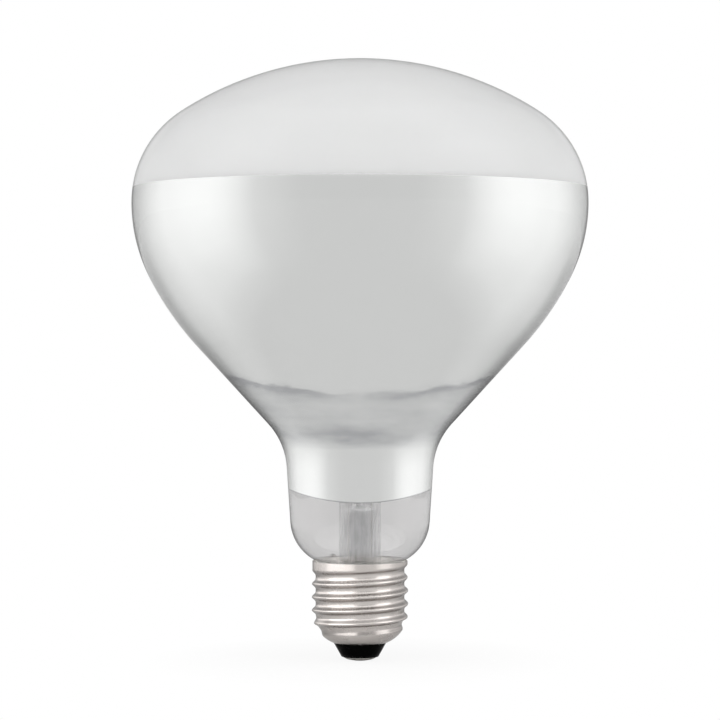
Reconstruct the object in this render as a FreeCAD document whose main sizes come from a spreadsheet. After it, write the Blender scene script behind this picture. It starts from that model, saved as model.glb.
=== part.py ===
import FreeCAD, Part
import math
import os

import Sketcher

# A reflector heat lamp: a blown glass bulb, mirrored inside, on a rolled screw cap.
# Millimetres and degrees. The lamp's axis is Z, heights run up from the centre contact's
# face, and each piece starts from the one below it: contact, cap, neck, bulb, stem, filament.
SIZES = {
    # centre contact and its solder
    "contact_radius": 4.65,
    "contact_height": 1.05,
    "contact_edge": 0.12,
    "contact_face_radius": 3.34,
    "contact_dome_radius": 3.5,
    "contact_hole_radius": 0.9,
    "solder_rise": 0.3,
    "solder_flat_radius": 1.5,
    "solder_radius": 2.9,
    "solder_floor": 0.15,
    # black glass insulator
    "insulator_foot_radius": 5.1,
    "insulator_inner_height": 1.0,
    "insulator_hole_radius": 1.2,
    # rolled screw shell
    "shell_sheet": 0.3,
    "shell_clearance": 0.06,
    "lip_radius": 7.45,
    "lip_height": 4.9,
    "cap_bowl_radius": 9.2,
    "crest_radius": 13.225,
    "rim_radius": 13.05,
    "cap_height": 27.25,
    "thread_pitch": 3.629,
    "thread_depth": 1.05,
    "thread_top_below_rim": 2.65,
    "thread_turns": 4.6,
    "thread_fade": 0.36,
    # cement between the cap and the glass
    "cement_wall": 1.27,
    "cement_clearance": 0.05,
    "cement_height": 8.95,
    "cement_below_rim": 0.65,
    # blown bulb, outside face, from the cap up
    "glass_wall": 1.0,
    "neck_in_cap": 10.75,
    "ankle_radius": 2.5,
    "heel_radius": 12.6,
    "neck_foot_radius": 19.1,
    "neck_taper": 3.75,
    "neck_length": 15.1,
    "throat_radius": 19.56,
    "cone_angle": 42.5,
    "flank_radius": 82.6,
    "bowl_radius": 45.5,
    "bowl_sweep": 26.4,
    "bulb_radius": 62.5,
    "edge_radius": 29.4,
    "crown_radius": 90.0,
    # linings inside the bulb
    "skin_clearance": 0.08,
    "skin_wall": 0.1,
    "mirror_above_widest": 4.0,
    "mirror_above_neck_foot": 9.25,
    "mirror_trim_radius": 66.0,
    "lining_gap": 0.1,
    # glass stem
    "stem_radius": 5.7,
    "stem_wall": 1.2,
    "flare_radius": 3.85,
    "flare_corner": 0.6,
    "stem_height": 26.5,
    "cavity_corner": 2.4,
    "cavity_roof": 1.0,
    "press_rise": 5.0,
    "press_height": 8.0,
    "press_half_width": 7.6,
    "press_half_depth": 2.4,
    "press_rounding": 0.5,
    "exhaust_radius": 1.7,
    "exhaust_bore": 1.0,
    "exhaust_below_seal": 4.5,
    "pump_hole_radius": 0.9,
    # leads
    "lead_spacing": 6.4,
    "lead_clearance": 0.055,
    "outer_lead_radius": 0.125,
    "seal_wire_radius": 0.2,
    "seal_wire_length": 6.0,
    "inner_lead_radius": 0.5,
    "channel_clearance": 0.03,
    "side_lead_turn": 125.0,
    "side_lead_below_seal": 2.6,
    "side_solder_radius": 1.0,
    # filament and what holds it
    "filament_height": 105.0,
    "filament_arc_radius": 14.0,
    "filament_radius": 0.8,
    "filament_sweep": 300.0,
    "rod_radius": 1.6,
    "button_radius": 2.6,
    "button_half_height": 2.2,
    "button_shoulder_radius": 3.3,
    "hook_radius": 0.25,
    "hook_clearance": 0.05,
    "hook_depth": 1.4,
    "hook_opening": 60.0,
}

# What follows from the driving sizes: name, and its formula in the same sheet.
WORKED_OUT = {
    "rim_inner_radius": "rim_radius - shell_sheet",
    "cap_bowl_centre_radius": "crest_radius - cap_bowl_radius",
    "cap_bowl_centre_height":
        "lip_height + sqrt(cap_bowl_radius^2 - (lip_radius - cap_bowl_centre_radius)^2)",
    "insulator_arc": "cap_bowl_radius - shell_sheet - shell_clearance",
    "waist_radius":
        "cap_bowl_centre_radius - shell_clearance"
        " + (cap_bowl_radius - shell_sheet) / cap_bowl_radius"
        " * (lip_radius - cap_bowl_centre_radius)",
    "waist_height":
        "cap_bowl_centre_height"
        " - sqrt(insulator_arc^2 - (waist_radius - cap_bowl_centre_radius)^2)",
    "insulator_top": "lip_height + insulator_inner_height",
    "insulator_top_radius":
        "cap_bowl_centre_radius"
        " + sqrt(insulator_arc^2 - (cap_bowl_centre_height - insulator_top)^2)",
    "neck_tube_radius": "crest_radius - thread_depth - shell_sheet - cement_wall",
    "lead_offset": "outer_lead_radius + lead_clearance",
    "heel_centre_radius": "neck_foot_radius - heel_radius * cos(neck_taper * 1 deg)",
    "heel_centre_height":
        "cap_height + sqrt((heel_radius + 2 * lead_offset)^2"
        " - (rim_inner_radius - heel_centre_radius)^2)",
    "neck_foot_height": "heel_centre_height - heel_radius * sin(neck_taper * 1 deg)",
    "ankle_centre_radius": "neck_tube_radius + ankle_radius",
    "ankle_centre_height":
        "heel_centre_height - sqrt((heel_radius + ankle_radius)^2"
        " - (ankle_centre_radius - heel_centre_radius)^2)",
    "cement_top": "cap_height - cement_below_rim",
    "cement_foot": "cement_top - cement_height",
    "cement_inner_radius": "neck_tube_radius + cement_clearance",
    "cement_outer_radius": "neck_tube_radius + cement_wall - cement_clearance",
    "cement_top_radius":
        "ankle_centre_radius - sqrt((ankle_radius - cement_clearance)^2"
        " - (cement_top - ankle_centre_height)^2)",
    "throat_centre_radius":
        "neck_foot_radius + neck_length * tan(neck_taper * 1 deg)"
        " + throat_radius * cos(neck_taper * 1 deg)",
    "throat_centre_height":
        "neck_foot_height + neck_length - throat_radius * sin(neck_taper * 1 deg)",
    "flank_centre_radius":
        "bulb_radius - bowl_radius - (flank_radius - bowl_radius) * cos(bowl_sweep * 1 deg)",
    "cone_length":
        "(flank_centre_radius - throat_centre_radius"
        " + (flank_radius + throat_radius) * cos(cone_angle * 1 deg)) / sin(cone_angle * 1 deg)",
    "widest_height":
        "throat_centre_height + (throat_radius + flank_radius) * sin(cone_angle * 1 deg)"
        " + cone_length * cos(cone_angle * 1 deg)"
        " - (flank_radius - bowl_radius) * sin(bowl_sweep * 1 deg)",
    "crown_centre_height":
        "widest_height"
        " - sqrt((crown_radius - edge_radius)^2 - (bulb_radius - edge_radius)^2)",
    "mirror_top": "widest_height + mirror_above_widest",
    "seal_height": "cap_height - neck_in_cap",
    "mirror_foot": "neck_foot_height + mirror_above_neck_foot",
    "flare_centre_radius": "stem_radius + flare_radius",
    "stem_bore": "stem_radius - stem_wall",
    "stem_top": "seal_height + stem_height",
    "cavity_top": "stem_top - cavity_roof",
    "press_foot": "stem_top + press_rise",
    "press_top": "press_foot + press_height",
    "weld_height": "press_top - (press_rise + press_height) / 2 - seal_wire_length / 2",
    "inner_weld_height": "weld_height + seal_wire_length",
    "exhaust_tip": "seal_height - exhaust_below_seal",
    "side_lead_low": "seal_height - side_lead_below_seal",
    "hook_ring_radius": "filament_radius + hook_clearance + hook_radius",
}

doc = FreeCAD.newDocument("heat_lamp_bulb")
sheet = doc.addObject("Spreadsheet::Sheet", "Sizes")
row = 0
for name, number in SIZES.items():
    row += 1
    sheet.set(f"A{row}", name)
    sheet.set(f"B{row}", str(number))
    sheet.setAlias(f"B{row}", name)
for name, formula in WORKED_OUT.items():
    row += 1
    sheet.set(f"A{row}", name)
    sheet.set(f"B{row}", "=" + formula)
    sheet.setAlias(f"B{row}", name)
doc.recompute()

UP = FreeCAD.Vector(0, 0, 1)
HALF_TURN = 180
nodes = []


def size(text):
    """The value of a size, or of a formula of sizes written as in the sheet."""
    return float(sheet.evalExpression(text))


def bound(text):
    """The same formula as an object outside the sheet reads it."""
    words = sorted(list(SIZES) + list(WORKED_OUT), key=len, reverse=True)
    out, i = "", 0
    while i < len(text):
        word = next((w for w in words if text.startswith(w, i)), None)
        out += "Sizes." + word if word else text[i]
        i += len(word) if word else 1
    return out


def spot(radius, height):
    """A point of a section: how far out from the axis, and how far up."""
    return FreeCAD.Vector(size(radius), size(height), 0)


def polar(radius, degrees):
    turn = math.radians(degrees)
    return FreeCAD.Vector(radius * math.cos(turn), radius * math.sin(turn), 0)


def keep(piece):
    """Put a finished piece on the list of sub-parts."""
    nodes.append(piece)


def set_sizes(piece, **formulas):
    for prop, text in formulas.items():
        piece.setExpression(prop, bound(text))
    return piece


def section_sketch(body, name, role="XZ_Plane", lift=None):
    """A sketch on one of the body's own planes, lifted along it if asked."""
    plane = next(f for f in body.Origin.OriginFeatures if f.Role == role)
    sketch = body.newObject("Sketcher::SketchObject", name)
    sketch.AttachmentSupport = [(plane, "")]
    sketch.MapMode = "FlatFace"
    if lift:
        sketch.setExpression("AttachmentOffset.Base.z", bound(lift))
    return sketch


def measure(sketch, kind, *where, formula):
    """Add one dimension to a sketch and tie it to the sheet."""
    index = sketch.addConstraint(Sketcher.Constraint(kind, *where, size(formula)))
    sketch.setExpression(f"Constraints[{index}]", bound(formula))


def turn(body, sketch):
    """Turn a section once round the lamp's axis."""
    turned = body.newObject("PartDesign::Revolution", body.Name + "_turned")
    turned.Profile = sketch
    turned.ReferenceAxis = (sketch, ["V_Axis"])
    turned.Angle = 360
    sketch.Visibility = False
    return turned


def turned_piece(name, corners, arcs=None):
    """A body turned from a closed section. corners are (radius, height) formulas in order, and
    arcs maps an edge's number to its radius, positive where it bulges to the right of its run."""
    arcs = arcs or {}
    body = doc.addObject("PartDesign::Body", name)
    sketch = section_sketch(body, name + "_section")
    spots = [spot(radius, height) for radius, height in corners]
    ends = []
    for i, start in enumerate(spots):
        stop = spots[(i + 1) % len(spots)]
        if i not in arcs:
            sketch.addGeometry(Part.LineSegment(start, stop))
            ends.append((1, 2))
            continue
        bend = size(arcs[i])
        chord = stop - start
        left = FreeCAD.Vector(-chord.y, chord.x, 0).normalize()
        reach = math.sqrt(bend**2 - (chord.Length / 2) ** 2)
        centre = (start + stop) / 2 + left * math.copysign(reach, bend)
        low, high = (start, stop) if bend > 0 else (stop, start)
        low, high = (math.atan2(end.y - centre.y, end.x - centre.x) for end in (low, high))
        sketch.addGeometry(Part.ArcOfCircle(Part.Circle(centre, UP, abs(bend)), low, high))
        ends.append((1, 2) if bend > 0 else (2, 1))
    for i, (first, last) in enumerate(ends):
        after = (i + 1) % len(ends)
        sketch.addConstraint(Sketcher.Constraint("Coincident", i, last, after, ends[after][0]))
        if i in arcs:
            measure(sketch, "Radius", i, formula=arcs[i].lstrip("-"))
        radius, height = corners[i]
        if size(radius) == 0:
            sketch.addConstraint(Sketcher.Constraint("PointOnObject", i, first, -2))
        else:
            measure(sketch, "DistanceX", -1, 1, i, first, formula=radius)
        if size(height) == 0:
            sketch.addConstraint(Sketcher.Constraint("PointOnObject", i, first, -1))
        else:
            measure(sketch, "DistanceY", -1, 1, i, first, formula=height)
    turn(body, sketch)
    return body


def wire_path(points, bends):
    """Straight runs through the points, joined by tangent arcs of the given radii."""
    edges, start = [], points[0]
    for before, corner, after, bend in zip(points, points[1:], points[2:], bends):
        back = (before - corner).normalize()
        on = (after - corner).normalize()
        half = back.getAngle(on) / 2
        reach = bend / math.tan(half)
        enter = corner + back * reach
        leave = corner + on * reach
        towards = (back + on).normalize()
        middle = corner + towards * (bend / math.sin(half) - bend)
        edges.append(Part.LineSegment(start, enter).toShape())
        edges.append(Part.Arc(enter, middle, leave).toShape())
        start = leave
    edges.append(Part.LineSegment(start, points[-1]).toShape())
    return edges


def drawn_wire(name, edges, radius):
    """A round wire swept along a path of edges."""
    spine = doc.addObject("Part::Feature", name + "_path")
    spine.Shape = Part.Wire(edges)
    start = edges[0].valueAt(edges[0].FirstParameter)
    ahead = edges[0].tangentAt(edges[0].FirstParameter)
    ring = doc.addObject("Part::Circle", name + "_ring")
    ring.setExpression("Radius", bound(radius))
    ring.Placement = FreeCAD.Placement(start, FreeCAD.Rotation(UP, ahead))
    swept = doc.addObject("Part::Sweep", name)
    swept.Sections = [ring]
    swept.Spine = (spine, [f"Edge{i + 1}" for i in range(len(edges))])
    swept.Solid = True
    swept.Frenet = False
    return swept


def rod(name, radius, length, foot, ahead=UP):
    """A round bar from foot, pointing ahead."""
    bar = doc.addObject("Part::Cylinder", name)
    set_sizes(bar, Radius=radius, Height=length)
    bar.Placement = FreeCAD.Placement(foot, FreeCAD.Rotation(UP, ahead))
    return bar


# Blown glass: one run of tangent arcs from crown to seal, repeated at each depth of the wall.


def bulb_geometry(inset):
    """Name and edge of each stretch of the bulb's section, moved inwards by inset."""
    cone, taper, sweep = size("cone_angle"), size("neck_taper"), size("bowl_sweep")
    heel = spot("heel_centre_radius", "heel_centre_height")
    ankle = spot("ankle_centre_radius", "ankle_centre_height")
    throat = spot("throat_centre_radius", "throat_centre_height")
    bowl = spot("bulb_radius - bowl_radius", "widest_height")
    edge = spot("bulb_radius - edge_radius", "widest_height")
    crown = spot("0", "crown_centre_height")
    flank = bowl - polar(size("flank_radius - bowl_radius"), -sweep)
    lean = math.degrees(math.atan2(edge.y - crown.y, edge.x))
    drop = math.degrees(math.atan2(heel.y - ankle.y, ankle.x - heel.x))
    radius = {name: size(name + "_radius") - inset for name in ("crown", "edge", "bowl", "flank", "heel")}
    radius.update({name: size(name + "_radius") + inset for name in ("throat", "ankle")})

    def arc(name, centre, low, high):
        circle = Part.Circle(centre, UP, radius[name])
        return Part.ArcOfCircle(circle, math.radians(low), math.radians(high))

    tube = ankle - polar(radius["ankle"], 0)
    return {
        "crown": arc("crown", crown, lean, 90),
        "edge": arc("edge", edge, 0, lean),
        "bowl": arc("bowl", bowl, -sweep, 0),
        "flank": arc("flank", flank, -cone, -sweep),
        "cone": Part.LineSegment(
            throat - polar(radius["throat"], -cone), flank + polar(radius["flank"], -cone)
        ),
        "throat": arc("throat", throat, HALF_TURN - cone, HALF_TURN - taper),
        "neck": Part.LineSegment(
            heel + polar(radius["heel"], -taper), throat - polar(radius["throat"], -taper)
        ),
        "heel": arc("heel", heel, -drop, -taper),
        "ankle": arc("ankle", ankle, HALF_TURN - drop, HALF_TURN),
        "tube": Part.LineSegment(FreeCAD.Vector(tube.x, size("seal_height"), 0), tube),
    }


# The arcs that curve the other way start at their upper end, every other stretch at its lower.
DRAWN_DOWNWARDS = ("throat", "ankle")


def stretch_ends(name):
    """A stretch's upper and lower end, as a sketch numbers them."""
    return (1, 2) if name in DRAWN_DOWNWARDS else (2, 1)


def draw_bulb_outline(sketch, inset):
    """Add the bulb's outline at one depth to a sketch, and give the crown's and tube's numbers."""
    geometry = bulb_geometry(size(inset))
    number = {name: sketch.addGeometry(shape) for name, shape in geometry.items()}
    names = list(geometry)
    for upper, lower in zip(names, names[1:]):
        low_end, high_end = stretch_ends(upper)[1], stretch_ends(lower)[0]
        joint = (number[upper], low_end, number[lower], high_end)
        sketch.addConstraint(Sketcher.Constraint("Tangent", *joint))
    for name in ("crown", "edge", "bowl", "flank", "heel"):
        measure(sketch, "Radius", number[name], formula=f"{name}_radius - {inset}")
    for name in ("throat", "ankle"):
        measure(sketch, "Radius", number[name], formula=f"{name}_radius + {inset}")
    crown, edge, bowl, neck = (number[name] for name in ("crown", "edge", "bowl", "neck"))
    heel, tube, cone = number["heel"], number["tube"], number["cone"]
    sketch.addConstraint(Sketcher.Constraint("PointOnObject", crown, 3, -2))
    sketch.addConstraint(Sketcher.Constraint("PointOnObject", crown, 2, -2))
    sketch.addConstraint(Sketcher.Constraint("Horizontal", edge, 3, edge, 1))
    measure(sketch, "DistanceX", -1, 1, edge, 1, formula=f"bulb_radius - {inset}")
    sweep = f"(bowl_radius - {inset}) * sin(bowl_sweep * 1 deg)"
    measure(sketch, "DistanceY", bowl, 1, bowl, 3, formula=sweep)
    measure_angle(sketch, cone, "cone_angle")
    measure_angle(sketch, neck, "neck_taper")
    measure(sketch, "DistanceY", neck, 1, neck, 2, formula="neck_length")
    foot = f"neck_foot_radius - ({inset}) * cos(neck_taper * 1 deg)"
    measure(sketch, "DistanceX", -1, 1, neck, 1, formula=foot)
    measure(sketch, "DistanceY", -1, 1, heel, 3, formula="heel_centre_height")
    sketch.addConstraint(Sketcher.Constraint("Vertical", tube))
    measure(sketch, "DistanceX", -1, 1, tube, 1, formula=f"neck_tube_radius - {inset}")
    measure(sketch, "DistanceY", -1, 1, tube, 1, formula="seal_height")
    return crown, tube


def measure_angle(sketch, line, name):
    """Set how far a line leans from the lamp's axis."""
    lean = Sketcher.Constraint("Angle", line, math.radians(90 - size(name)))
    index = sketch.addConstraint(lean)
    sketch.setExpression(f"Constraints[{index}]", f"90 deg - Sizes.{name} * 1 deg")


def blown_wall(name, outside, inside):
    """The bulb's form between two depths of the wall, turned about the axis."""
    body = doc.addObject("PartDesign::Body", name)
    sketch = section_sketch(body, name + "_section")
    crown, tube = draw_bulb_outline(sketch, outside)
    inner_crown, inner_tube = draw_bulb_outline(sketch, inside)
    outer_shapes, inner_shapes = bulb_geometry(size(outside)), bulb_geometry(size(inside))
    foot = Part.LineSegment(outer_shapes["tube"].StartPoint, inner_shapes["tube"].StartPoint)
    axis = Part.LineSegment(outer_shapes["crown"].EndPoint, inner_shapes["crown"].EndPoint)
    foot = sketch.addGeometry(foot)
    axis = sketch.addGeometry(axis)
    for joint in (
        (foot, 1, tube, 1), (foot, 2, inner_tube, 1), (axis, 1, crown, 2), (axis, 2, inner_crown, 2)
    ):
        sketch.addConstraint(Sketcher.Constraint("Coincident", *joint))
    turn(body, sketch)
    return body


keep(blown_wall("envelope", "0", "glass_wall"))

# The two linings share one thin skin just inside the glass: bright metal up to a level just
# past the widest part, and a white frosting above it.
skin_depth = "(glass_wall + skin_clearance)"
skin = blown_wall("skin", skin_depth, "(glass_wall + skin_clearance + skin_wall)")

below = rod("mirror_band", "bulb_radius", "mirror_top", FreeCAD.Vector())
mirror_band = doc.addObject("Part::Common", "mirror_skin")
mirror_band.Base = skin
mirror_band.Tool = below

# The metal's lower edge dips at the front and back, where a round form masked the neck.
mask = rod("neck_mask", "mirror_trim_radius", "4 * neck_foot_radius", FreeCAD.Vector())
side = FreeCAD.Vector(size("-2 * neck_foot_radius"), 0, size("mirror_foot - mirror_trim_radius"))
mask.Placement = FreeCAD.Placement(side, FreeCAD.Rotation(UP, FreeCAD.Vector(1, 0, 0)))
mirror_film = doc.addObject("Part::Cut", "mirror_film")
mirror_film.Base = mirror_band
mirror_film.Tool = mask
keep(mirror_film)

lining_foot = UP * size("mirror_top + lining_gap")
above = rod("lining_band", "bulb_radius", "crown_radius", lining_foot)
frosted_lining = doc.addObject("Part::Common", "frosted_lining")
frosted_lining.Base = skin
frosted_lining.Tool = above
keep(frosted_lining)


# Centre contact, its solder and the black glass that carries it.
keep(turned_piece(
    "insulator",
    [
        ("insulator_hole_radius", "contact_height"),
        ("insulator_foot_radius", "contact_height"),
        ("waist_radius", "lip_height"),
        ("waist_radius", "waist_height"),
        ("insulator_top_radius", "insulator_top"),
        ("insulator_hole_radius", "insulator_top"),
    ],
    arcs={3: "insulator_arc"},
))

keep(turned_piece(
    "centre_contact",
    [
        ("contact_hole_radius", "solder_rise"),
        ("contact_face_radius", "solder_rise"),
        ("contact_radius", "contact_height - contact_edge"),
        ("contact_radius", "contact_height"),
        ("contact_hole_radius", "contact_height"),
    ],
    arcs={1: "contact_dome_radius"},
))

keep(turned_piece(
    "centre_solder",
    [
        ("0", "0"),
        ("solder_flat_radius", "0"),
        ("solder_radius", "solder_rise"),
        ("contact_hole_radius - shell_clearance", "solder_rise"),
        ("contact_hole_radius - shell_clearance", "contact_height"),
        ("lead_offset", "contact_height"),
        ("lead_offset", "solder_floor"),
        ("0", "solder_floor"),
    ],
    arcs={1: "((solder_radius - solder_flat_radius)^2 + solder_rise^2) / (2 * solder_rise)"},
))


# Rolled screw shell: a turned outline of one thickness of sheet, with a round groove pressed
# into it along a right-hand helix that fades out in the bowl and under the rim.
ANGLE_STEPS = 48
STEPS_A_PITCH = 12


def ease(value):
    """A smooth step from 0 to 1."""
    value = min(max(value, 0.0), 1.0)
    return value * value * (3 - 2 * value)


def groove_strength(degrees, height):
    """How much of its full depth the thread has at this side and height of the outline."""
    pitch = size("thread_pitch")
    first_root = size("cap_height - thread_top_below_rim")
    climb = (height - first_root) / pitch - degrees / 360
    turns = round(climb)
    run = degrees / 360 + turns
    fade = size("thread_fade")
    strength = 1 - ease(run / fade)
    strength *= ease((run + size("thread_turns")) / fade / 2 + 0.5)
    crest = math.sin(math.pi * (climb - turns)) ** 4
    return (1 - crest) * strength


def shell_outline():
    """The shell's outline from rim to lip: point, direction that faces out, depth of thread."""
    step = size("thread_pitch") / STEPS_A_PITCH
    top, bowl_top = size("cap_height"), size("cap_bowl_centre_height")
    crest, rim = size("crest_radius"), size("rim_radius")
    blend_top = size("cap_height - thread_pitch")
    rows = []
    count = math.ceil((top - bowl_top) / step)
    for i in range(count):
        height = top + (bowl_top - top) * i / count
        radius = rim + (crest - rim) * ease((blend_top - height) / size("thread_pitch"))
        point = FreeCAD.Vector(radius, height, 0)
        rows.append((point, FreeCAD.Vector(1, 0, 0), size("thread_depth") - crest + radius))
    bowl = FreeCAD.Vector(size("cap_bowl_centre_radius"), bowl_top, 0)
    lip_angle = math.degrees(
        math.acos(size("(lip_radius - cap_bowl_centre_radius) / cap_bowl_radius"))
    )
    count = math.ceil(math.radians(lip_angle) * size("cap_bowl_radius") / step)
    for i in range(count + 1):
        out = polar(1, -lip_angle * i / count)
        rows.append((bowl + out * size("cap_bowl_radius"), out, size("thread_depth")))
    return rows


def pressed_skin(depth):
    """The smooth surface that lies this deep in the shell's sheet, as one face."""
    grid = []
    rows = shell_outline()
    for i in range(ANGLE_STEPS + 1):
        degrees = 90 + 360 * (i % ANGLE_STEPS) / ANGLE_STEPS
        around = degrees % 360
        column = []
        for point, out, full_depth in rows:
            pressed = full_depth * groove_strength(around, point.y)
            at = point - out * (depth + pressed)
            flat = polar(at.x, degrees)
            column.append(FreeCAD.Vector(flat.x, flat.y, at.y))
        grid.append(column)
    surface = Part.BSplineSurface()
    surface.interpolate(grid)
    return surface.toShape()


def rolled_shell():
    outside, inside = pressed_skin(0), pressed_skin(size("shell_sheet"))

    def round_edges(face):
        closed = [edge for edge in face.Edges if edge.isClosed()]
        return sorted(closed, key=lambda edge: edge.CenterOfMass.z)

    ends = [Part.makeRuledSurface(a, b) for a, b in zip(round_edges(outside), round_edges(inside))]
    shell = Part.makeShell([outside, inside] + ends)
    shell.sewShape()
    solid = Part.makeSolid(Part.Shell(shell.Faces))
    if solid.Volume < 0:
        solid.reverse()
    return solid


screw_shell = doc.addObject("Part::Feature", "screw_shell")
screw_shell.Shape = rolled_shell()
keep(screw_shell)


# Glass stem: a flared tube sealed to the neck, pressed flat at its top round the leads.
stem = turned_piece(
    "stem",
    [
        ("flare_centre_radius", "seal_height"),
        ("neck_tube_radius", "seal_height"),
        ("neck_tube_radius", "seal_height - stem_wall + flare_corner"),
        ("neck_tube_radius - flare_corner", "seal_height - stem_wall"),
        ("flare_centre_radius", "seal_height - stem_wall"),
        ("stem_bore", "seal_height + flare_radius"),
        ("stem_bore", "cavity_top - cavity_corner"),
        ("stem_bore - cavity_corner", "cavity_top"),
        ("0", "cavity_top"),
        ("0", "stem_top"),
        ("stem_radius", "stem_top"),
        ("stem_radius", "seal_height + flare_radius"),
    ],
    arcs={
        2: "-flare_corner",
        4: "-(flare_radius + stem_wall)",
        6: "cavity_corner",
        11: "flare_radius",
    },
)

press_sections = []
for name, height, width, depth in (
    ("press_round", "stem_top", "stem_radius", "stem_radius"),
    ("press_flat", "press_foot", "press_half_width", "press_half_depth"),
    ("press_end", "press_top", "press_half_width", "press_half_depth"),
):
    outline = doc.addObject("Part::Ellipse", name)
    set_sizes(outline, MajorRadius=width, MinorRadius=depth)
    outline.Placement.Base = UP * size(height)
    press_sections.append(outline)
press = doc.addObject("Part::Loft", "press")
press.Sections = press_sections
press.Solid = True
doc.recompute()

rounded = doc.addObject("Part::Fillet", "press_rounded")
rounded.Base = press
top_edge = max(range(len(press.Shape.Edges)), key=lambda i: press.Shape.Edges[i].BoundBox.ZMin)
rounded.Edges = [(top_edge + 1, size("press_rounding"), size("press_rounding"))]
stem_glass = doc.addObject("Part::Fuse", "stem_glass")
stem_glass.Base = stem
stem_glass.Tool = rounded

# Channels in the press: a stepped one round each lead, and the bore that the bulb was pumped
# through, which opens at the back of the press.
channels = []
for side, sign in (("left", -1), ("right", 1)):
    across = sign * size("lead_spacing / 2")
    for part, wire, low, high in (
        ("outer", "outer_lead_radius", "cavity_top - cavity_corner", "weld_height"),
        ("seal", "seal_wire_radius", "weld_height", "inner_weld_height"),
        ("inner", "inner_lead_radius", "inner_weld_height", "press_top + press_rounding"),
    ):
        foot = FreeCAD.Vector(across, 0, size(low))
        name = f"{part}_channel_{side}"
        channels.append(rod(name, f"{wire} + channel_clearance", f"{high} - ({low})", foot))
foot = UP * size("cavity_top - cavity_roof")
channels.append(rod("pump_bore", "exhaust_bore", "cavity_roof * 2 + press_rise / 2", foot))
foot = UP * size("stem_top + press_rise / 2 - exhaust_bore / 2")
ahead = FreeCAD.Vector(0, 1, 0)
channels.append(rod("pump_hole", "pump_hole_radius", "stem_radius", foot, ahead))
all_channels = doc.addObject("Part::MultiFuse", "channels")
all_channels.Shapes = channels
stem_tube = doc.addObject("Part::Cut", "stem_tube")
stem_tube.Base = stem_glass
stem_tube.Tool = all_channels
keep(stem_tube)

# Exhaust tube: hangs inside the stem, drawn off to a closed tip.
keep(turned_piece(
    "exhaust_tube",
    [
        ("exhaust_bore", "cavity_top"),
        ("exhaust_bore", "exhaust_tip + 2 * exhaust_radius"),
        ("0", "exhaust_tip + exhaust_radius"),
        ("0", "exhaust_tip"),
        ("exhaust_radius", "exhaust_tip + 2 * exhaust_radius"),
        ("exhaust_radius", "cavity_top"),
    ],
    arcs={3: "3 * exhaust_radius"},
))

# Glass rod on the press, with a button that holds the filament's hooks.
support = turned_piece(
    "support_glass",
    [
        ("0", "press_top"),
        ("rod_radius", "press_top"),
        ("rod_radius", "filament_height - button_half_height"),
        ("button_radius", "filament_height"),
        ("0", "filament_height + button_half_height"),
    ],
    arcs={2: "button_shoulder_radius", 3: "button_radius"},
)
hook_turns = [90 + size("filament_sweep") / 6 * step for step in (-2, -1, 0, 1, 2)]
hook_height = UP * size("filament_height")
hook_start = size("button_radius - hook_depth")
holes = []
for i, degrees in enumerate(hook_turns):
    foot = hook_height + polar(hook_start, degrees)
    reach = "hook_depth + hook_radius"
    hole = rod(f"hook_hole_{i + 1}", "hook_radius + channel_clearance", reach, foot, polar(1, degrees))
    holes.append(hole)
hook_holes = doc.addObject("Part::MultiFuse", "hook_holes")
hook_holes.Shapes = holes
support_rod = doc.addObject("Part::Cut", "support_rod")
support_rod.Base = support
support_rod.Tool = hook_holes
keep(support_rod)

# Filament: the coil's outer form, bent into most of a ring.
filament = doc.addObject("Part::Torus", "filament")
set_sizes(filament, Radius1="filament_arc_radius", Radius2="filament_radius", Angle3="filament_sweep")
first_end = 90 - size("filament_sweep") / 2
filament.Placement = FreeCAD.Placement(hook_height, FreeCAD.Rotation(UP, first_end))
keep(filament)

# Hooks: a straight wire out of the button, bent into an open eye round the filament.
for i, degrees in enumerate(hook_turns):
    out = polar(1, degrees)
    along = UP.cross(out)
    reach = "filament_arc_radius - hook_ring_radius - button_radius + hook_depth"
    arm = rod(f"hook_arm_{i + 1}", "hook_radius", reach, hook_height + out * hook_start, out)
    eye = doc.addObject("Part::Torus", f"hook_eye_{i + 1}")
    set_sizes(eye, Radius1="hook_ring_radius", Radius2="hook_radius", Angle3="360 - hook_opening")
    opening_side = FreeCAD.Rotation(along, size("hook_opening") / 2).multVec(out)
    turned = FreeCAD.Rotation(opening_side, FreeCAD.Vector(), along, "ZXY")
    centre = hook_height + out * size("filament_arc_radius")
    eye.Placement = FreeCAD.Placement(centre, turned)
    hook = doc.addObject("Part::Fuse", f"support_wire_{i + 1}")
    hook.Base = arm
    hook.Tool = eye
    keep(hook)

# Leads: copper to the cap, a short seal wire in the press and nickel up to the filament.
for side, sign in (("left", -1), ("right", 1)):
    across = FreeCAD.Vector(sign * size("lead_spacing / 2"), 0, 0)
    weld = across + UP * size("weld_height")
    keep(rod(f"seal_wire_{side}", "seal_wire_radius", "seal_wire_length", weld))
    end_turn = 90 - sign * size("filament_sweep") / 2
    beside = polar(size("inner_lead_radius + hook_clearance"), end_turn - sign * 90)
    top = polar(size("filament_arc_radius"), end_turn) + beside
    spread = size("press_rise")
    points = [
        across + UP * size("inner_weld_height"),
        across + UP * (size("press_top") + spread),
        top + UP * (size("filament_height") - 2 * spread),
        top + UP * size("filament_height + 2 * filament_radius"),
    ]
    lead = drawn_wire(f"inner_lead_{side}", wire_path(points, [spread, spread]), "inner_lead_radius")
    keep(lead)

across = FreeCAD.Vector(size("lead_spacing / 2"), 0, 0)
bend = size("exhaust_bore")
points = [
    across + UP * size("weld_height"),
    across + UP * size("exhaust_tip"),
    UP * size("exhaust_tip - lead_spacing / 2"),
    UP * size("solder_floor + channel_clearance"),
]
outer_lead_centre = drawn_wire("outer_lead_centre", wire_path(points, [bend, bend]), "outer_lead_radius")
keep(outer_lead_centre)

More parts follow.
